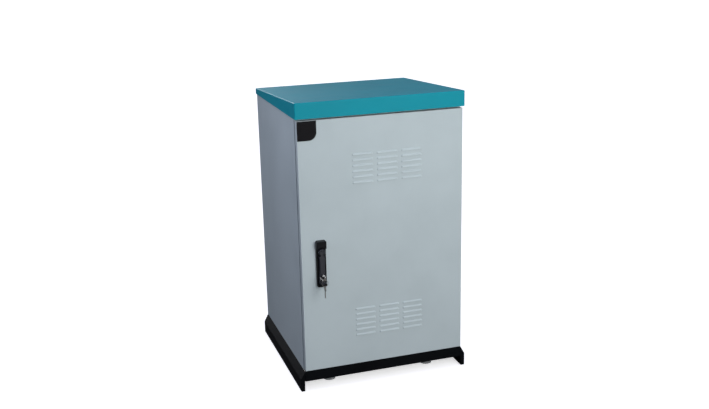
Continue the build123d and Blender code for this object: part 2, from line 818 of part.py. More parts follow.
# Door: hat-section stiffeners with a row of holes
stiffener_low_z = opening_low_z + stiffener_inset
stiffener_high_z = opening_high_z - stiffener_inset
stiffener_length = stiffener_high_z - stiffener_low_z
stiffener_holes = int(stiffener_length / stiffener_hole_pitch)
stiffener_shift = filter_half_x + filter_ear + stiffener_gap + stiffener_foot + stiffener_width / 2
for stiffener_name, stiffener_x in (("left", louvre_offset - stiffener_shift),
                                    ("right", louvre_offset + stiffener_shift)):
    with BuildPart() as door_stiffener:
        with BuildSketch(Plane.XY.offset(stiffener_low_z)):
            with BuildLine():
                stiffener_line = Polyline(
                    (stiffener_x - stiffener_width / 2 - stiffener_foot, door_inner_y),
                    (stiffener_x - stiffener_width / 2, door_inner_y),
                    (stiffener_x - stiffener_width / 2, door_inner_y + stiffener_depth),
                    (stiffener_x + stiffener_width / 2, door_inner_y + stiffener_depth),
                    (stiffener_x + stiffener_width / 2, door_inner_y),
                    (stiffener_x + stiffener_width / 2 + stiffener_foot, door_inner_y),
                )
                offset(stiffener_line, amount=panel_sheet, side=Side.LEFT, kind=Kind.INTERSECTION)
            make_face()
        extrude(amount=stiffener_length)
        with BuildSketch(front_plane(door_inner_y + stiffener_depth + overrun)):
            with Locations((stiffener_x, (stiffener_low_z + stiffener_high_z) / 2)):
                with GridLocations(0, stiffener_hole_pitch, 1, stiffener_holes):
                    Circle(stiffener_hole_radius)
        extrude(amount=stiffener_depth, mode=Mode.SUBTRACT)
    keep(door_stiffener, f"{stiffener_name}_door_stiffener")

# Door: filter mats and the frames that hold them
for field_name, field_z in (("upper", upper_louvre_z), ("lower", lower_louvre_z)):
    filter_left = louvre_offset - filter_half_x
    filter_right = louvre_offset + filter_half_x
    with BuildPart() as filter_mat:
        with BuildSketch(front_plane(door_inner_y)):
            span_rectangle(filter_left, filter_right, field_z - filter_half_z, field_z + filter_half_z)
        extrude(amount=-filter_thickness)
    keep(filter_mat, f"{field_name}_filter_mat")
    with BuildPart() as filter_frame:
        with BuildSketch(front_plane(filter_back_y)):
            ring_sketch(filter_left, filter_right, field_z - filter_half_z, field_z + filter_half_z,
                        filter_frame_rim)
            for ear_x in (filter_left - filter_ear / 2, filter_right + filter_ear / 2):
                for ear_z in (field_z - filter_stud_z, field_z + filter_stud_z):
                    with Locations((ear_x, ear_z)):
                        Rectangle(filter_ear, filter_ear)
                        Circle(filter_stud_radius + hole_clearance, mode=Mode.SUBTRACT)
        extrude(amount=-panel_sheet)
    keep(filter_frame, f"{field_name}_filter_frame")

filter_nut = hex_nut(filter_stud_radius, filter_nut_width, filter_nut_height)
with BuildPart() as filter_nuts:
    with Locations(*[Plane(origin=(x, filter_frame_back_y, z), x_dir=(1, 0, 0), z_dir=(0, 1, 0))
                     for x, z in filter_stud_places]):
        add(filter_nut)
keep(filter_nuts, "filter_nuts")

# Hinges: a leaf on the body, a knuckle plate on the door and a pin through both
knuckle_bore = hinge_pin_radius + hinge_pin_clearance
for hinge_name, hinge_z in hinge_heights.items():
    leaf_low_z = hinge_z - knuckle_height / 2
    plate_low_z = leaf_low_z - knuckle_gap - door_knuckle_height
    plate_high_z = leaf_low_z + knuckle_height + knuckle_gap + door_knuckle_height
    with BuildPart() as hinge_leaf:
        with BuildSketch(front_plane(body_front_y)):
            span_rectangle(hinge_x - hinge_leaf_left, hinge_x + hinge_leaf_right,
                           leaf_low_z, leaf_low_z + knuckle_height)
        extrude(amount=hinge_leaf_sheet)
        with BuildSketch(Plane.XY.offset(leaf_low_z)):
            with Locations((hinge_x, hinge_y)):
                Circle(knuckle_radius)
            span_rectangle(hinge_x - hinge_arm / 2, hinge_x + hinge_arm / 2, hinge_y,
                           body_front_y - hinge_leaf_sheet)
            with Locations((hinge_x, hinge_y)):
                Circle(knuckle_bore, mode=Mode.SUBTRACT)
        extrude(amount=knuckle_height)
    keep(hinge_leaf, f"{hinge_name}_hinge_leaf")
    with BuildPart() as hinge_knuckle:
        with BuildSketch(front_plane(door_inner_y)):
            span_rectangle(hinge_x - hinge_plate_left, hinge_x + knuckle_radius, plate_low_z, plate_high_z)
        extrude(amount=-hinge_leaf_sheet)
        for end_z in (plate_low_z, plate_high_z - door_knuckle_height):
            with BuildSketch(Plane.XY.offset(end_z)):
                with Locations((hinge_x, hinge_y)):
                    Circle(knuckle_radius)
                span_rectangle(hinge_x - knuckle_radius, hinge_x + knuckle_radius, door_inner_y, hinge_y)
                with Locations((hinge_x, hinge_y)):
                    Circle(knuckle_bore, mode=Mode.SUBTRACT)
            extrude(amount=door_knuckle_height)
    keep(hinge_knuckle, f"{hinge_name}_hinge_knuckle")
    with BuildPart() as hinge_pin:
        with BuildSketch(Plane.XY.offset(plate_low_z)):
            with Locations((hinge_x, hinge_y)):
                Circle(hinge_pin_radius)
        extrude(amount=plate_high_z - plate_low_z)
        with BuildSketch(Plane.XY.offset(plate_high_z)):
            with Locations((hinge_x, hinge_y)):
                Circle(hinge_pin_head_radius)
        extrude(amount=hinge_pin_head_height)
    keep(hinge_pin, f"{hinge_name}_hinge_pin")

# Swing handle: escutcheon with a raised cap at each end
base_face_y = door_face_y - handle_base
handle_left_x = handle_x - handle_width / 2
handle_right_x = handle_x + handle_width / 2
handle_mid_z = (handle_low_z + handle_high_z) / 2
cap_arc_radius = hypot(lever_shoulder, lever_width / 2) + cap_clearance
with BuildPart() as handle_escutcheon:
    with BuildSketch(front_plane(door_face_y)):
        with Locations((handle_x, handle_mid_z)):
            RectangleRounded(handle_width, handle_height, handle_corner_radius)
    extrude(amount=top_cap_height)
    fillet(handle_escutcheon.faces().sort_by(Axis.Y)[0].edges(), radius=cap_edge_radius)
    # lower the field between the caps, and trim the bottom cap
    with BuildSketch(front_plane(base_face_y)):
        span_rectangle(handle_left_x - overrun, handle_right_x + overrun,
                       handle_low_z + bottom_cap_width, hub_z + lever_width / 2 + cap_clearance)
        with Locations((handle_x, hub_z)):
            Circle(cap_arc_radius)
    extrude(amount=top_cap_height, mode=Mode.SUBTRACT)
    with BuildSketch(front_plane(door_face_y - bottom_cap_height)):
        span_rectangle(handle_left_x - overrun, handle_right_x + overrun,
                       handle_low_z - overrun, handle_low_z + bottom_cap_width)
    extrude(amount=top_cap_height, mode=Mode.SUBTRACT)
    with BuildSketch(front_plane(door_face_y)):
        with Locations((handle_x, hub_z)):
            Circle(spindle_radius + spindle_clearance)
    extrude(amount=handle_base, mode=Mode.SUBTRACT)
keep(handle_escutcheon, "handle_escutcheon")

# Swing handle: hub with a fork for the lever, and the spindle behind it
hub_back_y = base_face_y - hub_lift
pin_y = door_face_y - lever_pin_depth
driver_front_y = door_face_y + driver_depth
driver_back_y = driver_front_y + driver_sheet
fork_floor_y = pin_y + lever_tongue_radius + lever_slot_clearance
with BuildPart() as handle_hub:
    with BuildSketch(front_plane(hub_back_y)):
        with Locations((handle_x, hub_z)):
            Circle(hub_radius)
    extrude(amount=hub_height)
    fillet(handle_hub.faces().sort_by(Axis.Y)[0].edges(), radius=hub_edge_radius)
    with BuildSketch(front_plane(fork_floor_y)):
        span_rectangle(handle_x - lever_tongue / 2 - lever_slot_clearance,
                       handle_x + lever_tongue / 2 + lever_slot_clearance,
                       hub_z - hub_radius - overrun,
                       hub_z + lever_tongue_radius + lever_slot_clearance)
    extrude(amount=hub_height, mode=Mode.SUBTRACT)
    with BuildSketch(Plane.YZ.offset(handle_x)):
        with Locations((pin_y, hub_z)):
            Circle(lever_pin_radius)
    extrude(amount=hub_radius, both=True, mode=Mode.SUBTRACT)
    with BuildSketch(front_plane(hub_back_y)):
        with Locations((handle_x, hub_z)):
            Circle(spindle_radius)
    extrude(amount=hub_back_y - driver_front_y)
    with BuildSketch(front_plane(driver_front_y)):
        with Locations((handle_x, hub_z)):
            Rectangle(driver_square, driver_square, rotation=driver_tilt)
    extrude(amount=-driver_sheet)
    with BuildSketch(front_plane(driver_back_y)):
        with Locations((handle_x, hub_z)):
            Circle(driver_stud_radius)
    extrude(amount=-driver_nut_height)
keep(handle_hub, "handle_hub")

with BuildPart() as lever_pin:
    with BuildSketch(Plane.YZ.offset(handle_x)):
        with Locations((pin_y, hub_z)):
            Circle(lever_pin_radius)
    extrude(amount=sqrt(hub_radius ** 2 - lever_pin_radius ** 2), both=True)
keep(lever_pin, "lever_pin")

# Swing handle: lever with a tongue in the hub's fork and a bore for the lock
lever_back_y = base_face_y - lever_lift
lever_front_y = lever_back_y - lever_thickness
lever_low_z = handle_low_z + bottom_cap_width + lever_tip_gap
lever_high_z = hub_z - lever_shoulder
lock_z = handle_low_z + lock_rise
with BuildPart() as handle_lever:
    with BuildSketch(front_plane(lever_back_y)) as lever_outline:
        with BuildLine():
            waist_z = (lever_high_z + lock_z) / 2
            ThreePointArc((handle_x - lever_width / 2, lever_high_z), (handle_x - lever_waist / 2, waist_z),
                          (handle_x - lever_width / 2, lock_z))
            Polyline((handle_x - lever_width / 2, lock_z), (handle_x - lever_width / 2, lever_low_z),
                     (handle_x + lever_width / 2, lever_low_z), (handle_x + lever_width / 2, lock_z))
            ThreePointArc((handle_x + lever_width / 2, lock_z), (handle_x + lever_waist / 2, waist_z),
                          (handle_x + lever_width / 2, lever_high_z))
            Line((handle_x + lever_width / 2, lever_high_z), (handle_x - lever_width / 2, lever_high_z))
        make_face()
        fillet(lever_outline.vertices().group_by(Axis.Y)[0], radius=lever_tip_radius)
    extrude(amount=lever_thickness)
    fillet(handle_lever.faces().sort_by(Axis.Y)[0].edges(), radius=lever_edge_radius)
    with BuildSketch(Plane.YZ.offset(handle_x)):
        with Locations((pin_y, hub_z)):
            Circle(lever_tongue_radius)
        span_rectangle(pin_y - lever_tongue_radius, pin_y + lever_tongue_radius,
                       lever_high_z - lever_edge_radius, hub_z)
        with Locations((pin_y, hub_z)):
            Circle(lever_pin_radius + lever_pin_clearance, mode=Mode.SUBTRACT)
    extrude(amount=lever_tongue / 2, both=True)
    with BuildSketch(front_plane(lever_back_y)):
        with Locations((handle_x, lock_z)):
            Circle(plug_radius + plug_clearance)
    extrude(amount=lever_thickness, mode=Mode.SUBTRACT)
keep(handle_lever, "handle_lever")

# Lock: plug with a keyway, the key in it, a ring and a spare key that hangs on the ring
plug_face_y = lever_front_y - seat_clearance - plug_flange
with BuildPart() as lock_plug:
    with BuildSketch(front_plane(lever_back_y - plug_back_gap)):
        with Locations((handle_x, lock_z)):
            Circle(plug_radius)
    extrude(amount=lever_back_y - plug_back_gap - plug_face_y)
    with BuildSketch(front_plane(plug_face_y + plug_flange)):
        with Locations((handle_x, lock_z)):
            Circle(plug_flange_radius)
    extrude(amount=plug_flange)
    with BuildSketch(front_plane(plug_face_y + keyway_depth)):
        with Locations((handle_x, lock_z)):
            Rectangle(keyway_width, keyway_height)
    extrude(amount=keyway_depth, mode=Mode.SUBTRACT)
keep(lock_plug, "lock_plug")

key_tip_y = plug_face_y + keyway_depth - key_blade_inset
key_bow_y = plug_face_y - key_neck - key_bow_radius
key_hole_y = key_bow_y - key_hole_offset
with BuildPart() as key:
    with BuildSketch(Plane.YZ.offset(handle_x)):
        span_rectangle(key_bow_y, key_tip_y, lock_z - key_blade_height / 2, lock_z + key_blade_height / 2)
        with Locations((key_bow_y, lock_z)):
            Circle(key_bow_radius)
        with Locations((key_hole_y, lock_z)):
            Circle(key_hole_radius, mode=Mode.SUBTRACT)
    extrude(amount=key_sheet / 2, both=True)
keep(key, "key")

ring_top_z = lock_z - key_hole_radius + key_wire_radius + key_wire_clearance
ring_z = ring_top_z - key_ring_radius
with BuildPart() as key_ring:
    with BuildSketch(Plane.XY.offset(ring_z)):
        with Locations((handle_x + key_ring_radius, key_hole_y)):
            Circle(key_wire_radius)
    revolve(axis=Axis((handle_x, key_hole_y, ring_z), (0, 1, 0)))
keep(key_ring, "key_ring")

spare_hole_z = ring_z - key_ring_radius + key_wire_radius + key_wire_clearance - key_hole_radius
spare_bow_z = spare_hole_z - key_hole_offset
spare_cut_z = spare_bow_z - key_bow_radius - spare_blade_length / 2
with BuildPart() as spare_key:
    with BuildSketch(Plane.YZ.offset(handle_x)):
        span_rectangle(key_hole_y - key_blade_height / 2, key_hole_y + key_blade_height / 2,
                       spare_bow_z - key_bow_radius - spare_blade_length, spare_bow_z)
        with Locations((key_hole_y, spare_bow_z)):
            Circle(key_bow_radius)
        with Locations((key_hole_y, spare_hole_z)):
            Circle(key_hole_radius, mode=Mode.SUBTRACT)
        with Locations((key_hole_y - key_blade_height / 2, spare_cut_z)):
            with GridLocations(0, key_cut_pitch, 1, key_cuts):
                Rectangle(key_cut_size, key_cut_size, rotation=key_cut_tilt, mode=Mode.SUBTRACT)
    extrude(amount=key_sheet / 2, both=True)
keep(spare_key, "spare_key")

# Latch: a driver with two pins turns with the spindle
driver_pin_shift = driver_reach * cos(radians(driver_tilt))
driver_pin_places = [(handle_x - driver_pin_shift, hub_z + driver_pin_shift),
                     (handle_x + driver_pin_shift, hub_z - driver_pin_shift)]
with BuildPart() as latch_driver:
    with BuildSketch(front_plane(driver_front_y)):
        with Locations((handle_x, hub_z)):
            SlotCenterToCenter(2 * driver_reach, driver_arm, rotation=-driver_tilt)
            Circle(driver_hub_radius)
            Rectangle(driver_square + driver_square_clearance, driver_square + driver_square_clearance,
                      rotation=driver_tilt, mode=Mode.SUBTRACT)
    extrude(amount=-driver_sheet)
    with BuildSketch(front_plane(driver_back_y)):
        with Locations(*driver_pin_places):
            Circle(driver_pin_radius)
    extrude(amount=-driver_pin_length)
keep(latch_driver, "latch_driver")

driver_nut_solid = hex_nut(driver_stud_radius, driver_nut_width, driver_nut_height)
with BuildPart() as driver_nut:
    with Locations(Plane(origin=(handle_x, driver_back_y, hub_z), x_dir=(1, 0, 0), z_dir=(0, 1, 0))):
        add(driver_nut_solid)
keep(driver_nut, "driver_nut")

# Latch: two flat rods, each with a cross slot for its driver pin
rod_front_y = door_face_y + rod_depth
rod_slot_play = driver_reach * driver_sway_share + rod_slot_clearance
rod_slot_height = 2 * (driver_pin_radius + rod_slot_play)
rod_slot_half = (driver_reach - driver_pin_shift) / 2 + driver_pin_radius + rod_slot_clearance
rod_shift = (driver_reach + driver_pin_shift) / 2
rod_tail = driver_pin_shift - rod_slot_height / 2 - rod_end
upper_rod_x = handle_x - rod_shift
lower_rod_x = handle_x + rod_shift
rods = {
    "upper": (upper_rod_x, hub_z + rod_tail, opening_high_z - rod_end_gap, hub_z + driver_pin_shift),
    "lower": (lower_rod_x, opening_low_z + rod_end_gap, hub_z - rod_tail, hub_z - driver_pin_shift),
}
for rod_name, (rod_x, rod_low_z, rod_high_z, rod_slot_z) in rods.items():
    with BuildPart() as latch_rod:
        with BuildSketch(front_plane(rod_front_y)):
            span_rectangle(rod_x - rod_width / 2, rod_x + rod_width / 2, rod_low_z, rod_high_z)
            span_rectangle(rod_x - rod_slot_half, rod_x + rod_slot_half,
                           rod_slot_z - rod_slot_height / 2, rod_slot_z + rod_slot_height / 2,
                           mode=Mode.SUBTRACT)
        extrude(amount=-rod_sheet)
    keep(latch_rod, f"{rod_name}_latch_rod")

guide_half = rod_width / 2 + guide_clearance + guide_wall
guide_back_y = rod_front_y + rod_sheet + guide_clearance + guide_wall
guide_places = [(upper_rod_x, hub_z + guide_near), (upper_rod_x, opening_high_z - guide_far),
                (lower_rod_x, hub_z - guide_near), (lower_rod_x, opening_low_z + guide_far)]
with BuildPart() as rod_guides:
    for guide_x, guide_z in guide_places:
        with BuildSketch(Plane.XY.offset(guide_z - guide_height / 2)):
            span_rectangle(guide_x - guide_half, guide_x + guide_half, door_inner_y, guide_back_y)
            span_rectangle(guide_x - rod_width / 2 - guide_clearance,
                           guide_x + rod_width / 2 + guide_clearance,
                           rod_front_y - guide_clearance, rod_front_y + rod_sheet + guide_clearance,
                           mode=Mode.SUBTRACT)
        extrude(amount=guide_height)
keep(rod_guides, "rod_guides")

# Inside: four equipment posts with square holes, on four depth rails
rack_space = roof_under_z - floor_top_z - pan_flange - pan_flange - post_margin - post_margin
rack_units = int(rack_space / rack_pitch)
post_height = rack_units * rack_pitch + post_margin + post_margin
post_mid_z = (floor_top_z + roof_under_z) / 2
post_low_z = post_mid_z - post_height / 2
rack_half = half_width - rack_side_room
rack_hole_x = rack_half + rack_hole_edge
post_outer_x = rack_half + post_face
front_post_y = door_face_y + front_post_setback
rear_post_y = body_back_y - rear_post_setback
with BuildPart() as left_front_post:
    with BuildSketch(Plane.XY.offset(post_low_z)):
        with BuildLine():
            post_line = Polyline(
                (-rack_half, front_post_y),
                (-post_outer_x, front_post_y),
                (-post_outer_x, front_post_y + post_side),
            )
            offset(post_line, amount=post_sheet, side=Side.RIGHT, kind=Kind.INTERSECTION)
        make_face()
    extrude(amount=post_height)
    with BuildSketch(front_plane(front_post_y)):
        for unit in range(rack_units):
            unit_mid_z = post_low_z + post_margin + (2 * unit + 1) * rack_pitch / 2
            with Locations((-rack_hole_x, unit_mid_z)):
                with GridLocations(0, rack_hole_step, 1, rack_holes_per_unit):
                    Rectangle(rack_hole, rack_hole)
    extrude(amount=-post_sheet, mode=Mode.SUBTRACT)
keep(left_front_post, "left_front_post")

with BuildPart() as right_front_post:
    add(mirror(left_front_post.part, about=Plane.YZ))
keep(right_front_post, "right_front_post")

post_mirror_plane = Plane.XZ.offset(-(front_post_y + rear_post_y) / 2)
with BuildPart() as left_rear_post:
    add(mirror(left_front_post.part, about=post_mirror_plane))
keep(left_rear_post, "left_rear_post")

with BuildPart() as right_rear_post:
    add(mirror(left_rear_post.part, about=Plane.YZ))
keep(right_rear_post, "right_rear_post")

for rail_name, rail_z in (("lower", post_low_z + depth_rail_end),
                          ("upper", post_low_z + post_height - depth_rail_end)):
    with BuildPart() as left_depth_rail:
        with BuildSketch(front_plane(front_post_y)):
            with BuildLine():
                rail_line = Polyline(
                    (-post_outer_x, rail_z + depth_rail_height / 2),
                    (-post_outer_x, rail_z - depth_rail_height / 2),
                    (-side_inner_x, rail_z - depth_rail_height / 2),
                    (-side_inner_x, rail_z + depth_rail_height / 2),
                )
                offset(rail_line, amount=depth_rail_sheet, side=Side.RIGHT, kind=Kind.INTERSECTION)
            make_face()
        extrude(amount=front_post_y - rear_post_y)
    keep(left_depth_rail, f"left_{rail_name}_depth_rail")
    with BuildPart() as right_depth_rail:
        add(mirror(left_depth_rail.part, about=Plane.YZ))
    keep(right_depth_rail, f"right_{rail_name}_depth_rail")

# Inside: earth bar on two spacers, low on the back panel
earth_bar_z = floor_top_z + earth_bar_rise
earth_bar_back_y = back_inner_y - earth_spacer_length
with BuildPart() as earth_bar:
    with BuildSketch(front_plane(earth_bar_back_y)):
        with Locations((0, earth_bar_z)):
            Rectangle(earth_bar_length, earth_bar_height)
            with GridLocations(earth_bar_hole_pitch, 0, earth_bar_holes, 1):
                Circle(earth_bar_hole_radius, mode=Mode.SUBTRACT)
    extrude(amount=earth_bar_thickness)
keep(earth_bar, "earth_bar")

earth_spacer_x = earth_bar_length / 2 - earth_spacer_inset
with BuildPart() as earth_bar_spacers:
    with BuildSketch(front_plane(back_inner_y)):
        with Locations((-earth_spacer_x, earth_bar_z), (earth_spacer_x, earth_bar_z)):
            Circle(earth_spacer_radius)
    extrude(amount=earth_spacer_length)
keep(earth_bar_spacers, "earth_bar_spacers")
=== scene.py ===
# %% [markdown]
# # A roadside utility cabinet in powder-coated sheet steel
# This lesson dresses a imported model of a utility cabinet. The solids come from the frame
# at their real size, in metres, with the door facing -Y and Z up. What is left to do is what
# a paint shop and a photographer would do: give each surface its finish, add the finest
# fittings, and set up a camera, a floor and soft light.

# %% Load the frame
import json
import math

import bpy
from mathutils import Matrix, Vector, noise


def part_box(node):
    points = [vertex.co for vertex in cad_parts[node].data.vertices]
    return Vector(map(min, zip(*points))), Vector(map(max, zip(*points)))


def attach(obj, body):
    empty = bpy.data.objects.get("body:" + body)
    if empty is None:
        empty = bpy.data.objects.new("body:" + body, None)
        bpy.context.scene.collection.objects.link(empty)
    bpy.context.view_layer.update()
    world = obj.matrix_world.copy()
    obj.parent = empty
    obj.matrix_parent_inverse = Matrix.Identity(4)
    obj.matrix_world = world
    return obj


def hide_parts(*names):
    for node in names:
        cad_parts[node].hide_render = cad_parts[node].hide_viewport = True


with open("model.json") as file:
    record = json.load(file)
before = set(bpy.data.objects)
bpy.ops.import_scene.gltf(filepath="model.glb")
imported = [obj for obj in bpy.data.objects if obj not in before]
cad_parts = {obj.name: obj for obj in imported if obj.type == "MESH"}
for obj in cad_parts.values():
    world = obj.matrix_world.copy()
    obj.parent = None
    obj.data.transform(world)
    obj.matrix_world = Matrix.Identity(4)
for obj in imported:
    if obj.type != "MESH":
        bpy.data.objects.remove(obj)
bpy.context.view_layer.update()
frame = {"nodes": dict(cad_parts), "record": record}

nodes = frame["nodes"]
scene = bpy.context.scene

# %% [markdown]
# ## Camera
# The photograph was taken from the front left, a little above the cabinet's top. The place,
# the turn and the focal length were worked out from the cabinet's own edges in the picture.
# A camera looks along its own -Z axis, so its matrix is built from three directions: right,
# up and back. That keeps the small roll of the picture, which a tracking constraint would lose.

# %% Camera at the photograph's angle
PHOTO_WIDTH_PX = 709
FOCAL_LENGTH_PX = 954.6
CAMERA_PLACE = Vector((-1.0688, -3.2810, 1.5740))
CAMERA_AZIMUTH = math.radians(-17.876)
CAMERA_ELEVATION = math.radians(16.0)
CAMERA_ROLL = math.radians(-1.3225)

camera_data = bpy.data.cameras.new("camera")
camera_data.sensor_width = 36.0
camera_data.lens = FOCAL_LENGTH_PX * camera_data.sensor_width / PHOTO_WIDTH_PX
camera = bpy.data.objects.new("camera", camera_data)
scene.collection.objects.link(camera)
scene.camera = camera

back = Vector((
    math.sin(CAMERA_AZIMUTH) * math.cos(CAMERA_ELEVATION),
    -math.cos(CAMERA_AZIMUTH) * math.cos(CAMERA_ELEVATION),
    math.sin(CAMERA_ELEVATION),
))
level_right = Vector((0.0, 0.0, 1.0)).cross(back).normalized()
level_up = back.cross(level_right)
right = level_right * math.cos(CAMERA_ROLL) + level_up * math.sin(CAMERA_ROLL)
up = back.cross(right)
camera.matrix_world = Matrix.Translation(CAMERA_PLACE) @ Matrix((right, up, back)).transposed().to_4x4()
print("lens", round(camera_data.lens, 2), "mm at", tuple(CAMERA_PLACE))

# %% [markdown]
# ## Helpers for the finishes
# Colours are written as sRGB hex values, the way a paint chart gives them, and shaders need
# them as linear light. Patterns are written in millimetres: object coordinates here are
# metres, so a pattern of a given size needs a scale of 1000 over that size.

# %% Colour, scale and node helpers
MIX_A, MIX_B, MIX_RESULT = 6, 7, 2
finishes = {}


def linear(hex_colour):
    """Turns an sRGB hex colour into linear RGBA."""
    parts = [int(hex_colour[i:i + 2], 16) / 255 for i in (1, 3, 5)]
    return [p / 12.92 if p <= 0.04045 else ((p + 0.055) / 1.055) ** 2.4 for p in parts] + [1.0]


def per_mm(size_mm):
    """Texture scale whose features are about this many millimetres across."""
    return 1000.0 / size_mm


def add(tree, kind, inputs=None, **settings):
    """Adds one node. settings are its own properties, inputs are values or outputs to link."""
    node = tree.nodes.new(kind)
    for name, value in settings.items():
        setattr(node, name, value)
    for socket, value in (inputs or {}).items():
        if isinstance(value, bpy.types.NodeSocket):
            tree.links.new(value, node.inputs[socket])
        else:
            node.inputs[socket].default_value = value
    return node


def start_material(name, **shader_values):
    """A material with one Principled shader: returns it, its tree, the shader and the place."""
    material = bpy.data.materials.new(name)
    material.use_nodes = True
    tree = material.node_tree
    shader = tree.nodes["Principled BSDF"]
    for socket, value in shader_values.items():
        shader.inputs[socket.replace("_", " ")].default_value = value
    place = add(tree, "ShaderNodeTexCoord").outputs["Object"]
    return material, tree, shader, place


print("helpers ready: linear, per_mm, add, start_material")

# %% [markdown]
# ## Powder coat
# The body, the door, the hat and the base are steel sheet, sprayed with polyester powder that
# melts in an oven. It flows out almost smooth: what stays is a very shallow orange peel with
# waves of a millimetre or two, and a slightly uneven film. The eye reads that as a soft satin
# sheen with highlights that wobble a little. Three noise patterns carry it: the peel in the
# bump, a fine speckle, and a broad faint drift of the film in colour and roughness. The peel
# is drawn about twice as coarse as the real one, because it would not show otherwise.

# %% Powder-coated steel in three colours
PEEL_MM = 3.0
PEEL_HEIGHT_MM = 0.035
FILM_MM = 160.0
SPECKLE_MM = 0.9
PEEL_STRENGTH = 0.55
# most of a noise pattern lies between these values, and of two multiplied ones between the next two
NOISE_LOW, NOISE_HIGH = 0.3, 0.7
MOTTLE_LOW, MOTTLE_HIGH = 0.14, 0.36


def powder_coated_steel(name, thin_film, full_film, smooth, rough, specular):
    """Polyester powder coat whose colour runs from thin to full film."""
    material, tree, shader, place = start_material(name, Specular_IOR_Level=specular)
    film = add(tree, "ShaderNodeTexNoise", {"Vector": place, "Scale": per_mm(FILM_MM), "Detail": 4.0})
    speckle = add(tree, "ShaderNodeTexNoise", {
        "Vector": place, "Scale": per_mm(SPECKLE_MM), "Detail": 1.0,
    })
    mottle = add(tree, "ShaderNodeMath", {
        0: film.outputs["Fac"], 1: speckle.outputs["Fac"],
    }, operation="MULTIPLY")
    tone = add(tree, "ShaderNodeMapRange", {
        "Value": mottle.outputs[0], "From Min": MOTTLE_LOW, "From Max": MOTTLE_HIGH,
    })
    colour = add(tree, "ShaderNodeMix", {
        "Factor": tone.outputs["Result"], MIX_A: linear(thin_film), MIX_B: linear(full_film),
    }, data_type="RGBA")
    sheen = add(tree, "ShaderNodeMapRange", {
        "Value": film.outputs["Fac"], "From Min": NOISE_LOW, "From Max": NOISE_HIGH,
        "To Min": smooth, "To Max": rough,
    })
    peel = add(tree, "ShaderNodeTexNoise", {"Vector": place, "Scale": per_mm(PEEL_MM), "Detail": 2.0})
    relief = add(tree, "ShaderNodeBump", {
        "Strength": PEEL_STRENGTH, "Distance": PEEL_HEIGHT_MM / 1000, "Height": peel.outputs["Fac"],
    })
    tree.links.new(colour.outputs[MIX_RESULT], shader.inputs["Base Color"])
    tree.links.new(sheen.outputs["Result"], shader.inputs["Roughness"])
    tree.links.new(relief.outputs["Normal"], shader.inputs["Normal"])
    return material


# light grey coat: a soft, broad sheen and a faint cool drift across each panel
finishes["grey_paint"] = powder_coated_steel(
    "light grey powder-coated steel", "#b8c5c7", "#bfccce", smooth=0.40, rough=0.48, specular=0.3)
# teal coat: a deep, even colour, with so weak a sheen that the hat's front stays saturated
finishes["teal_paint"] = powder_coated_steel(
    "teal powder-coated steel", "#018f9f", "#0495a5", smooth=0.36, rough=0.44, specular=0.25)
# black coat: nearly matt, so that folds and edges only just show
finishes["black_paint"] = powder_coated_steel(
    "black powder-coated steel", "#06080a", "#0b0e11", smooth=0.52, rough=0.62, specular=0.12)
print("powder coats:", [finishes[s].name for s in ("grey_paint", "teal_paint", "black_paint")])

# %% [markdown]
# ## Plated and drawn metals
# Bolts, nuts, posts, rails and latch rods are steel, plated in a zinc bath and passivated.
# The plating is a grey metal with a fine grain and a film that drifts between bluish and
# straw. The keys are nickel plated, the lock chromed, the earth bar drawn brass. A metal keeps
# the default IOR: its colour is the reflection itself, and the unevenness sits in the
# roughness. Noise stretched along Z gives the grain of rolled sheet and drawn bar. The grain
# is drawn about four times as coarse as the real one so that it shows.

# %% Plated metals
FILM_PATCH_MM = 28.0
ROLLING_GRAIN_MM = 0.8
ROLLING_STRETCH = 0.06
ROLLING_HEIGHT_MM = 0.02
ROLLING_STRENGTH = 0.25
PATCH_LOW, PATCH_HIGH = 0.35, 0.65


def grained_metal(name, cool, warm, smooth, rough):
    """A plated or drawn metal whose film drifts from a cool to a warm tone."""
    material, tree, shader, place = start_material(name, Metallic=1.0)
    patch = add(tree, "ShaderNodeTexNoise", {
        "Vector": place, "Scale": per_mm(FILM_PATCH_MM), "Detail": 5.0,
    })
    along = add(tree, "ShaderNodeMapping", {"Vector": place, "Scale": (1.0, 1.0, ROLLING_STRETCH)})
    grain = add(tree, "ShaderNodeTexNoise", {
        "Vector": along.outputs["Vector"], "Scale": per_mm(ROLLING_GRAIN_MM), "Detail": 3.0,
    })
    tone = add(tree, "ShaderNodeMapRange", {
        "Value": patch.outputs["Fac"], "From Min": PATCH_LOW, "From Max": PATCH_HIGH,
    })
    colour = add(tree, "ShaderNodeMix", {
        "Factor": tone.outputs["Result"], MIX_A: linear(cool), MIX_B: linear(warm),
    }, data_type="RGBA")
    sheen = add(tree, "ShaderNodeMapRange", {
        "Value": grain.outputs["Fac"], "From Min": NOISE_LOW, "From Max": NOISE_HIGH,
        "To Min": smooth, "To Max": rough,
    })
    relief = add(tree, "ShaderNodeBump", {
        "Strength": ROLLING_STRENGTH, "Distance": ROLLING_HEIGHT_MM / 1000, "Height": grain.outputs["Fac"],
    })
    tree.links.new(colour.outputs[MIX_RESULT], shader.inputs["Base Color"])
    tree.links.new(sheen.outputs["Result"], shader.inputs["Roughness"])
    tree.links.new(relief.outputs["Normal"], shader.inputs["Normal"])
    return material


# zinc plate: a soft grey gleam that drifts between bluish and straw
finishes["zinc_steel"] = grained_metal(
    "zinc-plated steel", "#aeb6bc", "#bcb9ad", smooth=0.32, rough=0.48)
# nickel plate: a warm grey, with sharper glints on the edges of the keys
finishes["key_nickel"] = grained_metal(
    "nickel-plated brass", "#8f8d88", "#9d998f", smooth=0.22, rough=0.36)
# chrome plate: bright, clear reflections in a small disc
finishes["lock_chrome"] = grained_metal(
    "chrome-plated zinc", "#cfd2d4", "#d9dadb", smooth=0.14, rough=0.24)
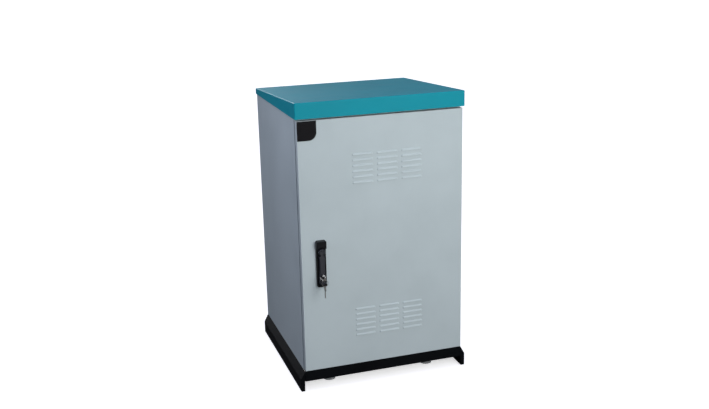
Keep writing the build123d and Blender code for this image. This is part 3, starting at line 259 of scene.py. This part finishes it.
# drawn brass: a yellow gleam, the only warm colour inside
finishes["earth_brass"] = grained_metal(
    "drawn brass", "#b88c42", "#c9a055", smooth=0.24, rough=0.38)
print("metals:", [finishes[s].name for s in ("zinc_steel", "key_nickel", "lock_chrome", "earth_brass")])

# %% [markdown]
# ## Die casting, plastics, foam and fleece
# The swing handle is a zinc die casting with a fine-texture black coat, and its lever has a
# smoother satin one, a little lighter, partly its own colour and partly painted highlight. The
# rod guides are moulded nylon, the foot pads too, the badge plate gloss ABS, the gasket
# closed-cell foam and the filter mat a bonded fleece.
# They share one build: a grain that is either cells or noise, a slight drift of colour, and
# a relief as deep as the real one.

# %% Grained finishes
RELIEF_STRENGTH = 0.6
GRAIN_LOW, GRAIN_HIGH = 0.25, 0.75


def grained(name, dark, light, roughness, grain_mm, height_mm, cells=False, **shader_values):
    """A non-metal whose grain of the given size shows in colour and relief."""
    material, tree, shader, place = start_material(name, Roughness=roughness, **shader_values)
    if cells:
        grain = add(tree, "ShaderNodeTexVoronoi", {"Vector": place, "Scale": per_mm(grain_mm)})
        height = grain.outputs["Distance"]
    else:
        grain = add(tree, "ShaderNodeTexNoise", {
            "Vector": place, "Scale": per_mm(grain_mm), "Detail": 4.0,
        })
        height = grain.outputs["Fac"]
    tone = add(tree, "ShaderNodeMapRange", {
        "Value": height, "From Min": GRAIN_LOW, "From Max": GRAIN_HIGH,
    })
    colour = add(tree, "ShaderNodeMix", {
        "Factor": tone.outputs["Result"], MIX_A: linear(dark), MIX_B: linear(light),
    }, data_type="RGBA")
    relief = add(tree, "ShaderNodeBump", {
        "Strength": RELIEF_STRENGTH, "Distance": height_mm / 1000, "Height": height,
    })
    tree.links.new(colour.outputs[MIX_RESULT], shader.inputs["Base Color"])
    tree.links.new(relief.outputs["Normal"], shader.inputs["Normal"])
    return material


# fine-texture coat on the casting: near black, with broken highlights on the round edges
finishes["black_die_cast"] = grained(
    "black coated die-cast zinc", "#08090b", "#101114", roughness=0.44, grain_mm=0.7, height_mm=0.03,
    Specular_IOR_Level=0.3)
# satin coat on the lever: a smoother gleam, and a tone lighter than the black casting that is partly its
# own colour and partly painted highlight
finishes["lever_satin"] = grained(
    "satin coated die-cast zinc with painted highlight", "#1f2127", "#2a2c33", roughness=0.34, grain_mm=1.4, height_mm=0.015)
# moulded nylon of the rod guides: dull black
finishes["guide_plastic"] = grained(
    "moulded black nylon", "#131416", "#1d1e21", roughness=0.50, grain_mm=1.6, height_mm=0.02)
# gloss ABS of the corner plate: a clear, dark reflection
finishes["badge_black"] = grained(
    "gloss black ABS", "#0b0a0d", "#121114", roughness=0.28, grain_mm=6.0, height_mm=0.01)
# moulded nylon of the foot pads: pale and dull
finishes["foot_nylon"] = grained(
    "moulded grey nylon", "#a3a6a6", "#b4b7b7", roughness=0.55, grain_mm=1.6, height_mm=0.02)
# foam: dead matt, pitted with small dark cells
finishes["gasket_foam"] = grained(
    "closed-cell foam", "#141517", "#26272a", roughness=0.92, grain_mm=0.9, height_mm=0.20, cells=True)
# fleece: pale and fuzzy, with light caught in its loose fibres
finishes["filter_fleece"] = grained(
    "bonded fleece", "#a9aaa6", "#e2e3df", roughness=0.95, grain_mm=1.4, height_mm=0.40, Sheen_Weight=0.4)
print("all finishes:", [finish.name for finish in finishes.values()])

# %% [markdown]
# ## Painting the pieces
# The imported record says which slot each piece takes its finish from, so one loop paints the
# whole cabinet, inside and out.

# %% Give every piece its finish
for part in frame["record"]["subparts"]:
    mesh = nodes[part["node"]].data
    mesh.materials.clear()
    mesh.materials.append(finishes[part["material_slot"]])

# %% [markdown]
# ## Foam gasket
# The gasket is foam, poured as a bead round the inside of the door. A bead has no sharp
# edges, so the square solid is welded and its edges are rounded with a bevel. Modifiers leave
# the solid itself as it is.

# %% Round the gasket's edges
WELD_DISTANCE = 0.00001
GASKET_ROUNDING = 0.003
weld = nodes["door_gasket"].modifiers.new("weld", "WELD")
weld.merge_threshold = WELD_DISTANCE
rounding = nodes["door_gasket"].modifiers.new("bead", "BEVEL")
rounding.width = GASKET_ROUNDING
rounding.segments = 4
rounding.limit_method = "ANGLE"
print("gasket bead rounded by", rounding.width, "metres")

# %% [markdown]
# ## Screws with a cross recess
# The back panel and the gland plate are held by pan-head screws. On the solid they are plain
# buttons. Each is made again here as a small lathe shape: rings of points from the tip, up the
# shank, round the head and over its dome, and the points of the dome that fall inside a cross
# are pushed down to make the driver's recess.

# %% Helpers for new pieces
GROUP_REACH = 0.012


def mesh_piece(name, points, faces, slot_name, body, smooth=True):
    """A new piece from points in metres, with a finish, riding on a body."""
    data = bpy.data.meshes.new(name)
    data.from_pydata(points, [], faces)
    data.polygons.foreach_set("use_smooth", [smooth] * len(data.polygons))
    data.materials.append(finishes[slot_name])
    piece = bpy.data.objects.new(name, data)
    scene.collection.objects.link(piece)
    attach(piece, body)
    return piece


def screw_places(node, axis):
    """Centres of a node's screws across the given axis, found by grouping its points."""
    across = [i for i in range(3) if i != axis]
    groups = []
    for vertex in nodes[node].data.vertices:
        spot = Vector((vertex.co[across[0]], vertex.co[across[1]]))
        near = next((g for g in groups if (g[0] - spot).length < GROUP_REACH), None)
        if near is None:
            groups.append([spot])
        else:
            near.append(spot)
    return [[(min(s[i] for s in g) + max(s[i] for s in g)) / 2 for i in (0, 1)] for g in groups]


def ring_faces(first, rings, steps):
    """Quads that join rings of points, stacked one on the other from a first point's number."""
    faces = []
    for ring in range(rings - 1):
        for step in range(steps):
            a = first + ring * steps + step
            b = first + ring * steps + (step + 1) % steps
            faces.append((a, b, b + steps, a + steps))
    return faces


print("helpers ready: mesh_piece, screw_places, ring_faces")

# %% Make pan-head screws
STEPS = 48
DOME_RINGS = 24
ROUNDED_RINGS = 10
SKIRT_SHARE = 0.35
TIP_RADIUS_MM = 0.02
TIP_SHARE = 0.7
TIP_CHAMFER_MM = 0.6
RECESS_ARM_MM = 2.5
RECESS_WIDTH_MM = 1.1
RECESS_DEPTH_MM = 1.5
RECESS_TAPER = 0.55


def recess_depth(u, v):
    """Depth of the cross recess at a point of the dome, in millimetres."""
    across, along = sorted((abs(u), abs(v)))
    if across > RECESS_WIDTH_MM / 2 or along > RECESS_ARM_MM:
        return 0.0
    return RECESS_DEPTH_MM * (1.0 - RECESS_TAPER * along / RECESS_ARM_MM)


def pan_screws(name, node, axis, head_mm, height_mm, shank_mm):
    """All the screws of a node as one piece, with their heads at the high end of the axis."""
    low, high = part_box(node)
    seat_mm = (high[axis] - low[axis]) * 1000 - height_mm
    rings = [
        (TIP_RADIUS_MM, 0.0), (shank_mm * TIP_SHARE, 0.0), (shank_mm, TIP_CHAMFER_MM), (shank_mm, seat_mm),
        (head_mm, seat_mm), (head_mm, seat_mm + height_mm * SKIRT_SHARE),
    ]
    plain_rings = len(rings)
    for i in range(1, DOME_RINGS):
        turn = math.pi / 2 * min(1.0, i / ROUNDED_RINGS)
        rise = SKIRT_SHARE + (1 - SKIRT_SHARE) * math.sin(turn)
        rings.append((head_mm * (1 - i / DOME_RINGS), seat_mm + height_mm * rise))
    across = [i for i in range(3) if i != axis]
    points, faces = [], []
    for centre in screw_places(node, axis):
        first = len(points)
        for number, (radius, height) in enumerate(rings):
            for step in range(STEPS):
                angle = math.tau * step / STEPS
                offsets = (radius * math.cos(angle), radius * math.sin(angle))
                sunk = recess_depth(*offsets) if number >= plain_rings else 0.0
                point = [0.0, 0.0, 0.0]
                point[axis] = low[axis] + (height - sunk) / 1000
                for i, offset, middle in zip(across, offsets, centre):
                    point[i] = middle + offset / 1000
                points.append(point)
        faces += ring_faces(first, len(rings), STEPS)
        faces.append([first + (len(rings) - 1) * STEPS + step for step in range(STEPS)])
    piece = mesh_piece(name, points, faces, "zinc_steel", "cabinet", smooth=False)
    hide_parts(node)
    return piece


back_screws = pan_screws(
    "back_panel_cross_screws", "back_panel_screws", axis=1, head_mm=5.0, height_mm=2.6, shank_mm=2.5)
gland_screws = pan_screws(
    "gland_plate_cross_screws", "gland_plate_screws", axis=2, head_mm=4.5, height_mm=2.5, shank_mm=2.5)
print("screws:", len(back_screws.data.polygons), "and", len(gland_screws.data.polygons), "faces")

# %% [markdown]
# ## Threads on the levelling studs
# The studs under the cabinet are threaded rod, and the thread shows between the foot pad and
# the floor pan. A rolled thread is a ridge wound round the rod, so three points, root, crest and root,
# are carried round in a helix and joined to the next three.

# %% Wind the threads
THREAD_PITCH = 0.00175
THREAD_HEIGHT = 0.00045
THREAD_STEPS = 28
STUD_RADIUS = 0.006
THREAD_START = 0.012
THREAD_STOP = 0.001
ROOT_SINK = 0.0001
FLANK_SHARE = 0.42
thread_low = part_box("levelling_feet")[1][2] + THREAD_START
thread_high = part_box("levelling_studs")[1][2] - THREAD_STOP
steps_up = int((thread_high - thread_low) / THREAD_PITCH * THREAD_STEPS)
thread_points, thread_faces = [], []
for x, y in screw_places("levelling_studs", 2):
    first = len(thread_points)
    for step in range(steps_up + 1):
        angle = math.tau * step / THREAD_STEPS
        middle = thread_low + THREAD_PITCH * step / THREAD_STEPS
        run_out = min(1.0, step / THREAD_STEPS, (steps_up - step) / THREAD_STEPS)
        crest = THREAD_HEIGHT * run_out
        for rise, lift in ((-ROOT_SINK, -FLANK_SHARE), (crest, 0.0), (-ROOT_SINK, FLANK_SHARE)):
            radius = STUD_RADIUS + rise
            thread_points.append((x + radius * math.cos(angle), y + radius * math.sin(angle),
                                  middle + lift * THREAD_PITCH))
    for step in range(steps_up):
        a = first + 3 * step
        thread_faces += [(a, a + 3, a + 4, a + 1), (a + 1, a + 4, a + 5, a + 2)]
mesh_piece("levelling_stud_threads", thread_points, thread_faces, "zinc_steel", "cabinet")
print("threads:", len(thread_faces), "faces on", len(screw_places("levelling_studs", 2)), "studs")

# %% [markdown]
# ## Corner welds of the base
# The bars of the base are welded to the skids at their ends, and the bead closes the narrow
# gap between them. A bead is laid in small overlapping puddles, so a rod of points is drawn
# down each gap, with a radius that swells and shrinks at every puddle. It is painted with the
# base.

# %% Lay the corner welds
# the bar ends at this mean distance from the skid, and both are folded from this sheet
BAR_END_GAP = 0.003
BASE_SHEET = 0.0025
BEAD_RADIUS = 0.0026
BEAD_RIPPLE = 0.0002
PUDDLE_LENGTH = 0.0026
BEAD_RINGS, BEAD_STEPS = 72, 14
skid_low, skid_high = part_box("left_skid_rail")
bead_points, bead_faces = [], []
for bar, outward in (("front_bar", -1), ("rear_bar", 1)):
    low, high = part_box(bar)
    faces_y = (low[1], skid_low[1]) if outward < 0 else (high[1], skid_high[1])
    bead_y = sum(faces_y) / 2 - outward * BASE_SHEET / 2
    run = high[2] - low[2] - 2 * BEAD_RADIUS
    for bead_x in (low[0] - BAR_END_GAP / 2, high[0] + BAR_END_GAP / 2):
        first = len(bead_points)
        for ring in range(BEAD_RINGS + 1):
            z = low[2] + BEAD_RADIUS + run * ring / BEAD_RINGS
            radius = BEAD_RADIUS + BEAD_RIPPLE * math.sin(math.tau * z / PUDDLE_LENGTH)
            for step in range(BEAD_STEPS):
                angle = math.tau * step / BEAD_STEPS
                x = bead_x + radius * math.cos(angle)
                y = bead_y + radius * math.sin(angle)
                bead_points.append((x, y, z))
        bead_faces += ring_faces(first, BEAD_RINGS + 1, BEAD_STEPS)
        last = first + BEAD_RINGS * BEAD_STEPS
        bead_faces.append([first + step for step in reversed(range(BEAD_STEPS))])
        bead_faces.append([last + step for step in range(BEAD_STEPS)])
mesh_piece("base_corner_welds", bead_points, bead_faces, "black_paint", "cabinet")
print("welds:", len(bead_faces), "faces in 4 beads")

# %% [markdown]
# ## Filter fleece
# Behind each louvre field lies a mat of bonded polyester fibre. It is soft and lumpy, so a
# flat block would look wrong where it shows through the frame's window. The mat is made again
# as a grid that follows the block's size, with its inner face swelling a little into the
# window and roughened by two sizes of lumps.

# %% Make the filter mats
GRID_X, GRID_Z = 120, 54
SWELL = 0.0011
FRAME_RIM = 0.016
RIM_BLEND = 0.006
RIM_PRESS = 0.0004
FRONT_CLEARANCE = 0.0001
# lumps as height in metres, width in millimetres and place in the noise
LUMPS = ((0.00035, 9.0, 0.3), (0.00022, 3.0, 0.7))
WIDTH = GRID_X + 1
LAYER = WIDTH * (GRID_Z + 1)
rim = list(range(GRID_X))
rim += [row * WIDTH + GRID_X for row in range(GRID_Z)]
rim += [GRID_Z * WIDTH + column for column in range(GRID_X, 0, -1)]
rim += [row * WIDTH for row in range(GRID_Z, 0, -1)]
for field in ("upper", "lower"):
    low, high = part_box(f"{field}_filter_mat")
    front, inner = [], []
    for row in range(GRID_Z + 1):
        for column in range(WIDTH):
            x = low[0] + (high[0] - low[0]) * column / GRID_X
            z = low[2] + (high[2] - low[2]) * row / GRID_Z
            edge = min(x - low[0], high[0] - x, z - low[2], high[2] - z)
            in_window = max(0.0, min(1.0, (edge - FRAME_RIM) / RIM_BLEND))
            lumps = 0.0
            for height, width_mm, layer in LUMPS:
                lumps += height * noise.noise(Vector((x, layer, z)) * per_mm(width_mm))
            front.append((x, low[1] + FRONT_CLEARANCE, z))
            inner.append((x, high[1] - RIM_PRESS + in_window * (SWELL + lumps), z))
    mat_faces = []
    for row in range(GRID_Z):
        for column in range(GRID_X):
            a = row * WIDTH + column
            mat_faces.append((a, a + 1, a + WIDTH + 1, a + WIDTH))
            mat_faces.append((LAYER + a, LAYER + a + WIDTH, LAYER + a + WIDTH + 1, LAYER + a + 1))
    mat_faces += [(b, a, LAYER + a, LAYER + b) for a, b in zip(rim, rim[1:] + rim[:1])]
    mat = mesh_piece(f"{field}_filter_fleece", front + inner, mat_faces, "filter_fleece", "door")
    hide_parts(f"{field}_filter_mat")
    print(field, "fleece:", len(mat_faces), "faces")

# %% [markdown]
# ## Floor and light
# The photograph is a cut-out on white. A pale floor that reaches far past the picture's top
# edge stands in for it, with a white backdrop above its far end. The light is soft: a bluish
# sky that is dim towards the ground, a low fill lamp from the front that keeps the louvres
# faint, a weaker one above it that gives the paint its sheen, and one from behind that skims
# the hat. Two softboxes near the cabinet's top let the door and the side panel fade downwards,
# and a small catch light is there only to be mirrored in the lock. Lamps that would show as
# glare are hidden from reflections.

# %% Floor
FLOOR_HALF = 40.0
floor_mesh = bpy.data.meshes.new("floor")
floor_corners = [(x * FLOOR_HALF, y * FLOOR_HALF, 0.0) for x, y in ((-1, -1), (1, -1), (1, 1), (-1, 1))]
floor_mesh.from_pydata(floor_corners, [], [(0, 1, 2, 3)])
floor = bpy.data.objects.new("floor", floor_mesh)
scene.collection.objects.link(floor)
# matt studio paper that glows a little, so that it stays white round a soft contact shadow
floor_finish = start_material(
    "pale studio floor", Roughness=0.9, Emission_Strength=0.62, Specular_IOR_Level=0.0,
    Base_Color=linear("#f4f4f4"), Emission_Color=linear("#ffffff"))[0]
floor_mesh.materials.append(floor_finish)
floor.visible_diffuse = False
floor.visible_glossy = False
print("floor", 2 * FLOOR_HALF, "metres wide")

# %% Sky
SKY_LOW_Z, SKY_HIGH_Z = -0.10, 1.0
SKY_LOW_LEVEL, SKY_HIGH_LEVEL = 0.03, 0.64
scene.view_settings.view_transform = "Standard"
world = bpy.data.worlds.new("studio")
scene.world = world
world.use_nodes = True
sky_tree = world.node_tree
sky_place = add(sky_tree, "ShaderNodeTexCoord").outputs["Generated"]
sky_height = add(sky_tree, "ShaderNodeSeparateXYZ", {"Vector": sky_place}).outputs["Z"]
sky_level = add(sky_tree, "ShaderNodeMapRange", {
    "Value": sky_height, "From Min": SKY_LOW_Z, "From Max": SKY_HIGH_Z,
    "To Min": SKY_LOW_LEVEL, "To Max": SKY_HIGH_LEVEL,
})
sky_light = add(sky_tree, "ShaderNodeBackground", {
    "Color": linear("#e6e8ff"), "Strength": sky_level.outputs["Result"],
})
backdrop = add(sky_tree, "ShaderNodeBackground", {"Color": linear("#ffffff"), "Strength": 1.0})
seen = add(sky_tree, "ShaderNodeLightPath").outputs["Is Camera Ray"]
sky = add(sky_tree, "ShaderNodeMixShader", {0: seen, 1: sky_light.outputs[0], 2: backdrop.outputs[0]})
sky_tree.links.new(sky.outputs[0], sky_tree.nodes["World Output"].inputs["Surface"])
print("sky from", SKY_LOW_LEVEL, "to", SKY_HIGH_LEVEL)

# %% Lamps
SUN_WIDTH = math.radians(50)
MIDDLE = (0.0, 0.0, 0.5)


def add_lamp(name, kind, place, aim, energy, size, hex_colour="#ffffff", mirrored=True, lights=True):
    """A soft lamp at a place, aimed at a point. size is an angle for a sun, a width for a softbox."""
    lamp_data = bpy.data.lights.new(name, kind)
    lamp_data.energy = energy
    lamp_data.color = linear(hex_colour)[:3]
    if kind == "SUN":
        lamp_data.angle = size
    else:
        lamp_data.size = size
    lamp = bpy.data.objects.new(name, lamp_data)
    scene.collection.objects.link(lamp)
    lamp.location = place
    lamp.rotation_mode = "QUATERNION"
    lamp.rotation_quaternion = (Vector(aim) - Vector(place)).to_track_quat("-Z", "Y")
    lamp.visible_camera = False
    lamp.visible_glossy = mirrored
    lamp.visible_diffuse = lights


add_lamp("front lamp", "SUN", (1.2, -3.6, 1.8), MIDDLE, energy=0.45, size=SUN_WIDTH)
add_lamp("fill lamp", "SUN", (1.2, -3.6, 0.7), MIDDLE, energy=1.18, size=SUN_WIDTH, mirrored=False)
add_lamp("front softbox", "AREA", (0.35, -1.5, 1.15), (0.0, -0.29, 0.95),
         energy=6.8, size=0.8, mirrored=False)
add_lamp("left softbox", "AREA", (-1.3, -0.3, 1.3), (-0.3, 0.0, 0.95),
         energy=4.7, size=0.6, hex_colour="#e6eaff")
add_lamp("back lamp", "SUN", (-0.6, 3.5, 1.9), MIDDLE, energy=1.15, size=math.radians(40))
add_lamp("catch light", "AREA", (0.13, -1.41, 0.14), (-0.23, -0.31, 0.43),
         energy=0.4, size=0.25, lights=False)
